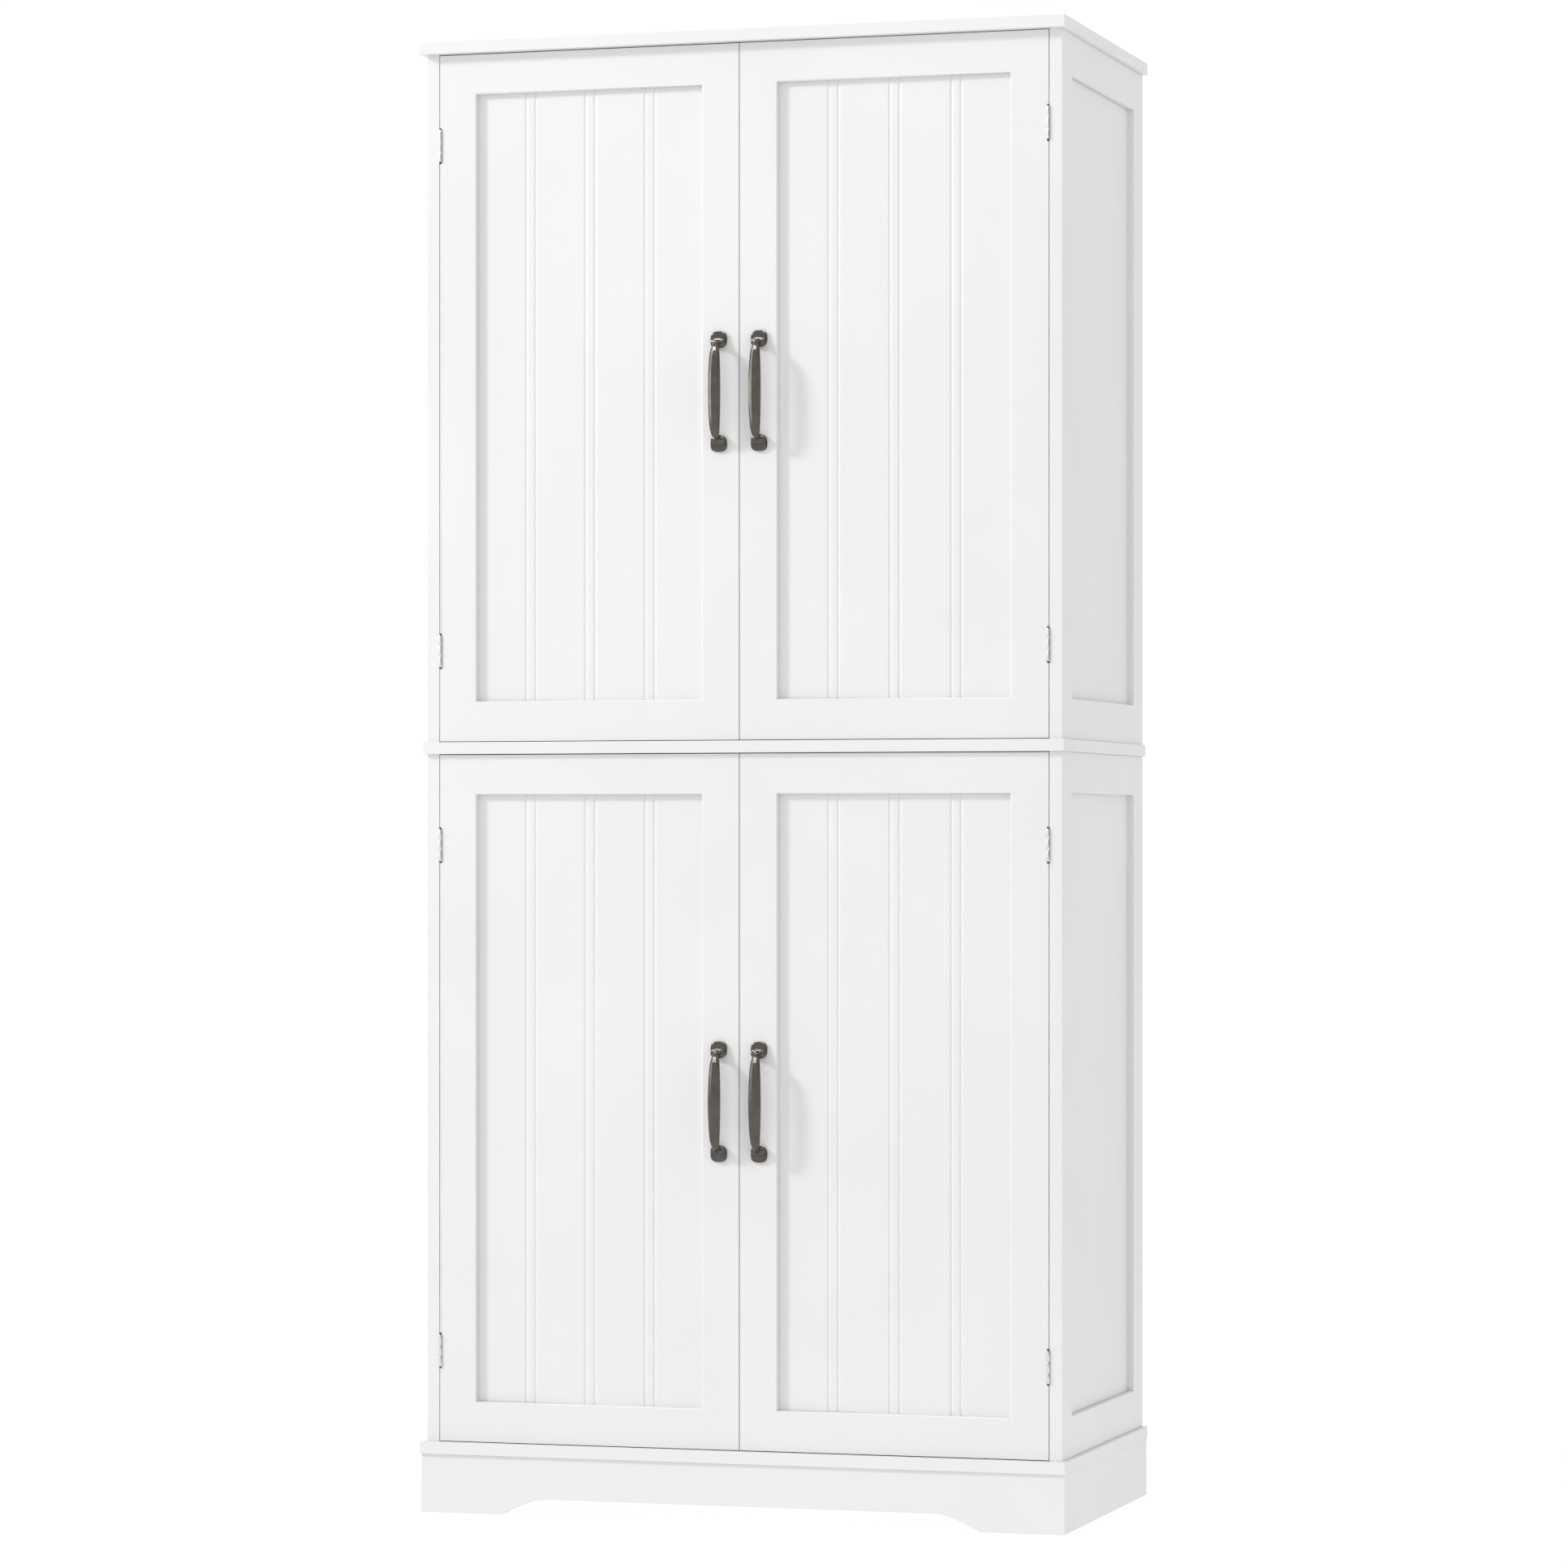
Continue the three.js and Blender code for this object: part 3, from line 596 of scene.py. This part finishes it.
def make_hinge(level, hand, side, where):
    """One butt hinge: the frame leaf with the two end knuckles, the door leaf with the middle one, the pin's
    tips and the screws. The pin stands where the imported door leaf's barrel is."""
    key = f"hinge_{level}_{hand}_{where}"
    low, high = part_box(f"{key}_door_leaf")
    z = (low.z + high.z) / 2 / MM
    y_axis = low.y + BARREL_RADIUS * MM
    x_axis = (low.x if side > 0 else high.x) + side * BARREL_RADIUS * MM
    y0 = y_axis / MM
    rear = high.y / MM
    wall = x_axis / MM + side * FRAME_LEAF_FROM_PIN
    door_wall = x_axis / MM + side * DOOR_LEAF_FROM_PIN
    frame_face = wall - side * LEAF_THICK
    door_face = door_wall + side * LEAF_THICK
    front_cut = y0 + BARREL_RADIUS + BARREL_CLEARANCE
    screw_y = rear - SCREW_FROM_REAR
    top, bottom = z + BARREL_HALF, z - BARREL_HALF
    split = (z - MIDDLE_KNUCKLE - KNUCKLE_GAP, z + MIDDLE_KNUCKLE + KNUCKLE_GAP)

    def frame_side(bm):
        start = y0 + FRAME_LEAF_START
        outline = leaf_outline(start, rear, bottom, top, LEAF_CORNER, (front_cut, split))
        leaf_plate(bm, wall, frame_face, outline)
        knuckle(bm, x_axis, y_axis, split[1], top)
        knuckle(bm, x_axis, y_axis, bottom, split[0])

    def door_side(bm):
        reach = (z - MIDDLE_KNUCKLE, z + MIDDLE_KNUCKLE)
        start = y0 + DOOR_LEAF_START
        body = leaf_outline(front_cut, rear, bottom, top, LEAF_CORNER, (front_cut, reach))[1:-4]
        below = [(start, reach[0]), (front_cut, reach[0]), (front_cut, bottom)]
        above = [(front_cut, top), (front_cut, reach[1]), (start, reach[1])]
        leaf_plate(bm, door_wall, door_face, drop_repeats([*below, *body, *above]))
        knuckle(bm, x_axis, y_axis, *reach)

    def tips(bm):
        r = TIP_RADIUS
        shape = ((r * 0.7, 0.0), (r * 0.7, 0.55), (r, 0.8), (r, TIP_REACH - 0.3), (r * 0.75, TIP_REACH))
        for end in (-1, 1):
            base = z + end * (BARREL_HALF - TIP_START)
            turned(bm, shape, lambda u, v, h, b=base, e=end: (
                x_axis + u * MM, y_axis + v * MM, (b + e * h) * MM), TIP_SIDES)

    def screws(bm, face, out):
        for offset in SCREW_HEIGHTS:
            screw_head(bm, face, screw_y, z + offset, out)

    def recess_shade_crosses(bm, face, out):
        for offset in SCREW_HEIGHTS:
            cross_recess_shade(bm, face, screw_y, z + offset, out)

    door_body = f"door_{level}_{hand}"
    frame_piece = make_object(f"{key}_frame_plate", frame_side, NICKEL, "carcass")
    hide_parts(f"{key}_frame_leaf")
    door_piece = make_object(f"{key}_door_plate", door_side, NICKEL, door_body)
    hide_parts(f"{key}_door_leaf")
    make_object(f"{key}_pin_tips", tips, NEAR_BLACK_AND_PAINTED_SHADE, "carcass")
    leaves = (("frame", frame_face, -side, "carcass"), ("door", door_face, side, door_body))
    for leaf, face, out, body in leaves:
        make_object(f"{key}_{leaf}_screws", lambda bm: screws(bm, face, out), ZINC, body)
    # The recesses are flat near-black crosses: painted shade for the hollows of the screws' cross recesses.
    for leaf, face, out, body in leaves:
        make_object(f"{key}_{leaf}_painted_recess_shades", lambda bm: recess_shade_crosses(bm, face, out), NEAR_BLACK_AND_PAINTED_SHADE, body)


# ---- Shelf pins and their rows of holes ---------------------------------------------------------------
# All in mm.
WALL_FROM_PIN_END = 7.0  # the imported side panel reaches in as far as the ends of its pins
PIN_Y = (-129.0, 153.0)
PIN_BELOW_SHELF = 2.5
PIN_DROP = 0.05  # a hair lower still, so that pin and shelf don't touch
PIN_RADIUS = 2.55
PIN_REACH = 7.1
PIN_FLANGE = 4.0
PIN_SIDES = 24
HOLE_RADIUS = 2.5
HOLE_LIP = 0.25
HOLE_SIDES = 20
HOLE_STEP = 32.0
HOLE_STEPS = (-2, -1, 1, 2)  # the pin itself is in the middle hole


def make_shelf_fittings(level, hand, side):
    panel_low, panel_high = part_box(f"side_{level}_{hand}_panel")
    wall = ((panel_low.x if side > 0 else panel_high.x) / MM) + side * WALL_FROM_PIN_END
    bottoms = [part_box(f"shelf_{level}_{place}")[0].z / MM for place in ("low", "high")]
    heights = [bottom - PIN_BELOW_SHELF for bottom in bottoms]

    def pins(bm):
        profile = ((PIN_FLANGE, 0.0), (PIN_FLANGE, 0.7), (PIN_RADIUS + 0.2, 1.0), (PIN_RADIUS, 1.3),
                   (PIN_RADIUS, PIN_REACH - 0.5), (PIN_RADIUS - 0.5, PIN_REACH))
        for z in heights:
            for y in PIN_Y:
                turned(bm, profile, lambda u, v, h, y=y, z=z: (
                    (wall - side * h) * MM, (y + u) * MM, (z - PIN_DROP + v) * MM), PIN_SIDES)

    def holes(bm):
        # Each hole is a flat disc on the panel's face, near-black as painted shade for the hole's depth.
        lip = HOLE_RADIUS + HOLE_LIP
        profile = ((lip, -0.3), (lip, 0.03), (HOLE_RADIUS, 0.06), (HOLE_RADIUS - 0.3, 0.02))
        for z in heights:
            for y in PIN_Y:
                for step in HOLE_STEPS:
                    turned(bm, profile, lambda u, v, h, y=y, z=z, s=step: (
                        (wall - side * h) * MM, (y + u) * MM, (z + s * HOLE_STEP + v) * MM), HOLE_SIDES)

    make_object(f"shelf_pins_{level}_{hand}", pins, NICKEL, "carcass")
    make_object(f"pin_holes_{level}_{hand}", holes, BOARD_AND_HOLE_SHADE, "carcass")


# ---- Catches and strike plates ------------------------------------------------------------------------
HOUSING_ROUND = 1.0 * MM
HOUSING_LIFT = 1.0 * MM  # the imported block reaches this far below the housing
FLANGE_ROUND = 0.6 * MM
FLANGE_THICK = 2.2 * MM
FLANGE_DEPTH = 8 * MM
FLANGE_BEHIND = 4 * MM  # how far the flange runs on behind the housing
FLANGE_INSET = 6 * MM  # from each end of the housing
# Steel pole plates, in pairs left and right of a catch's middle, one above the other.
POLE_PROUD = 1.2 * MM
POLE_DEPTH = 6 * MM
POLE_ROUND = 0.3 * MM
POLE_FROM_MIDDLE = 24 * MM
POLE_HALF = 13 * MM
POLE_THICK = 1.3 * MM
POLE_HEIGHTS = (2.6 * MM, 8.4 * MM)
CATCH_SCREW = ((2.4, 0.0), (2.6, 0.4), (2.2, 1.1), (1.2, 1.5))  # radius and drop in mm
CATCH_SCREW_SQUASH = 0.9  # the heads are a little narrower from front to back
CATCH_SCREW_FROM_MIDDLE = 22 * MM
CATCH_SCREW_FROM_REAR = 2.6 * MM
STRIKE_SQUARENESS = 6.0
STRIKE_POINTS = 48


def make_catch(level):
    """A twin magnetic catch: a soft-edged housing with a screwed flange behind it, and steel pole plates."""
    name = f"catch_{level}"
    low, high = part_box(name)

    def housing(bm):
        near = (low.x, low.y + POLE_PROUD, low.z + HOUSING_LIFT)
        far = (high.x, high.y - FLANGE_BEHIND, high.z)
        soft_box(bm, near, far, HOUSING_ROUND, 3)
        near = (low.x + FLANGE_INSET, high.y - FLANGE_DEPTH, high.z - FLANGE_THICK)
        far = (high.x - FLANGE_INSET, high.y, high.z)
        soft_box(bm, near, far, FLANGE_ROUND, 2)

    def poles(bm):
        for s in (-1, 1):
            middle = s * POLE_FROM_MIDDLE
            for height in POLE_HEIGHTS:
                z0 = low.z + height
                near = (middle - POLE_HALF, low.y, z0)
                far = (middle + POLE_HALF, low.y + POLE_DEPTH, z0 + POLE_THICK)
                soft_box(bm, near, far, POLE_ROUND, 2)

    def screws(bm):
        for s in (-1, 1):
            x, y = s * CATCH_SCREW_FROM_MIDDLE, high.y - CATCH_SCREW_FROM_REAR
            turned(bm, CATCH_SCREW, lambda u, v, h, x=x, y=y: (
                x + u * MM, y + v * MM * CATCH_SCREW_SQUASH, high.z - FLANGE_THICK - h * MM), SCREW_SIDES)

    piece = make_object(f"{name}_housing", housing, PLASTIC, "carcass")
    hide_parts(name)
    make_object(f"{name}_poles", poles, ZINC, "carcass")
    make_object(f"{name}_screws", screws, ZINC, "carcass")


def make_strike(level, hand):
    name = f"strike_{level}_{hand}"
    low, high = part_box(name)
    body = f"door_{level}_{hand}"
    middle = (low + high) / 2
    half_u = (high.x - low.x) / 2 / MM
    half_v = (high.z - low.z) / 2 / MM
    thick = (high.y - low.y) / MM

    def plate(bm):
        rings = []
        for h, shrink in ((0.0, 0.0), (thick - 0.2, 0.0), (thick, 0.25)):
            outline = superellipse(half_u - shrink, half_v - shrink, STRIKE_SQUARENESS, STRIKE_POINTS)
            rings.append([(middle.x + u * MM, low.y + h * MM, middle.z + v * MM) for u, v in outline])
        skin(bm, rings)

    def screw(bm):
        profile = ((2.2, thick - 0.6), (2.2, thick - 0.15), (2.0, thick - 0.02), (0.9, thick - 0.01))
        turned(bm, profile, lambda u, v, h: (
            middle.x + u * MM, low.y + h * MM, middle.z + v * MM), SCREW_SIDES)

    piece = make_object(f"{name}_plate", plate, ZINC, body)
    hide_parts(name)
    make_object(f"{name}_screw", screw, NEAR_BLACK_AND_PAINTED_SHADE, body)


for level in LEVELS:
    make_catch(level)
    for hand, side in HANDS:
        make_handle(level, hand)
        make_strike(level, hand)
        make_shelf_fittings(level, hand, side)
        for where in ("top", "bottom"):
            make_hinge(level, hand, side, where)


# ---- Studio -------------------------------------------------------------------------------------------
FLOOR_GLOW = 0.92
FLOOR_HALF = 29.0  # metres; just inside the dome
DOME_RADIUS = 30.0
SKY_LIGHT = 0.87
# The key light throws the crisp shadows: place, size across and up in metres, watts.
KEY = ((-6.44, -3.76, 5.00), (1.25, 1.25), 352.0)
# Cards that only reflections see: place, size across and up, glow. The dark one gives polished edges
# something dark on their right, the side one shows along their left, and the top one hangs high in front
# and shows on whatever metal tilts upwards.
DARK_CARD = ((5.0, -0.7, 1.2), (5.0, 5.0), 0.02)
TOP_CARD = ((-1.20, -4.40, 6.2), (6.5, 1.5), 13.0)
SIDE_CARD = ((-6.0, -2.00, 2.6), (1.7, 3.8), 3.8)
LIGHT_TARGET = (0.0, -0.2, 1.0)


def studio_mesh(name, mesh_maker, material):
    bm = bmesh.new()
    mesh_maker(bm)
    mesh = bpy.data.meshes.new(name)
    bm.to_mesh(mesh)
    bm.free()
    mesh.materials.append(material)
    obj = bpy.data.objects.new(name, mesh)
    bpy.context.scene.collection.objects.link(obj)
    return obj


def hide_from(obj, rays):
    for ray in rays:
        setattr(obj, f"visible_{ray}", False)


def face_target(obj, place):
    obj.location = place
    obj.rotation_euler = (Vector(LIGHT_TARGET) - Vector(place)).to_track_quat("-Z", "Y").to_euler()


def make_floor():
    paint = Shader("studio_floor_paint", 0.9)
    paint.link(paint.ramp(paint.noise(1.5), [(0.3, 0.11), (0.7, 0.13)]), "Base Color")
    paint.set("Specular IOR Level", 0.0)
    paint.set("Emission Color", (1.0, 1.0, 1.0, 1.0))
    paint.set("Emission Strength", FLOOR_GLOW)
    floor = studio_mesh("studio_floor", lambda bm: bmesh.ops.create_grid(
        bm, x_segments=8, y_segments=8, size=FLOOR_HALF), paint.material)


def make_backdrop():
    """A white dome that only the camera sees, so that it gives no light and casts no shade."""
    paint = Shader("studio_backdrop_paint", 1.0)
    paint.link(paint.ramp(paint.noise(0.2), [(0.3, 0.01), (0.7, 0.02)]), "Base Color")
    paint.set("Emission Color", (1.0, 1.0, 1.0, 1.0))
    paint.set("Emission Strength", 1.0)
    dome = studio_mesh("studio_backdrop", lambda bm: bmesh.ops.create_icosphere(
        bm, subdivisions=4, radius=DOME_RADIUS), paint.material)
    hide_from(dome, ("diffuse", "glossy", "transmission", "volume_scatter", "shadow"))


def make_card(name, place, size, glow):
    """A glowing or dark board that only reflections see."""
    wide, tall = size
    felt = Shader(f"{name}_surface", 1.0)
    shade = felt.noise(3.0)
    felt.link(felt.ramp(shade, [(0.3, 0.02), (0.7, 0.03)]), "Base Color")
    felt.link(felt.ramp(shade, [(0.2, 0.95), (0.8, 1.0)]), "Emission Color")
    felt.set("Emission Strength", glow)
    felt.set("Specular IOR Level", 0.0)

    def board(bm):
        corners = [(a * wide / 2, b * tall / 2, 0.0) for a, b in ((-1, -1), (1, -1), (1, 1), (-1, 1))]
        bm.faces.new([bm.verts.new(c) for c in corners])

    card = studio_mesh(name, board, felt.material)
    face_target(card, place)
    hide_from(card, ("camera", "diffuse", "transmission", "volume_scatter", "shadow"))


def make_key(place, size, watts):
    data = bpy.data.lights.new("key", "AREA")
    data.shape = "ELLIPSE"
    data.size, data.size_y = size
    data.energy = watts
    light = bpy.data.objects.new("key", data)
    face_target(light, place)
    bpy.context.scene.collection.objects.link(light)


def make_world(strength):
    world = bpy.data.worlds.new("studio")
    world.use_nodes = True
    background = world.node_tree.nodes["Background"]
    background.inputs["Color"].default_value = (1.0, 1.0, 1.0, 1.0)
    background.inputs["Strength"].default_value = strength
    bpy.context.scene.world = world


CAMERA_PLACE = (2.009, -6.691, 0.830)
CAMERA_YAW = math.radians(16.74)
CAMERA_LENS = 126.5
CAMERA_SENSOR = 36.0  # mm
CAMERA_SHIFT = 0.0416
CAMERA_FAR = 100.0


def make_camera():
    data = bpy.data.cameras.new("view")
    data.sensor_width = CAMERA_SENSOR
    data.lens = CAMERA_LENS
    data.shift_y = CAMERA_SHIFT
    data.clip_end = CAMERA_FAR
    camera = bpy.data.objects.new("view", data)
    camera.location = CAMERA_PLACE
    camera.rotation_euler = (math.radians(90.0), 0.0, CAMERA_YAW)
    bpy.context.scene.collection.objects.link(camera)
    bpy.context.scene.camera = camera


make_floor()
make_backdrop()
make_world(SKY_LIGHT)
make_key(*KEY)
make_card("dark_card", *DARK_CARD)
make_card("top_card", *TOP_CARD)
make_card("side_card", *SIDE_CARD)
make_camera()
bpy.context.scene.view_settings.view_transform = "Standard"
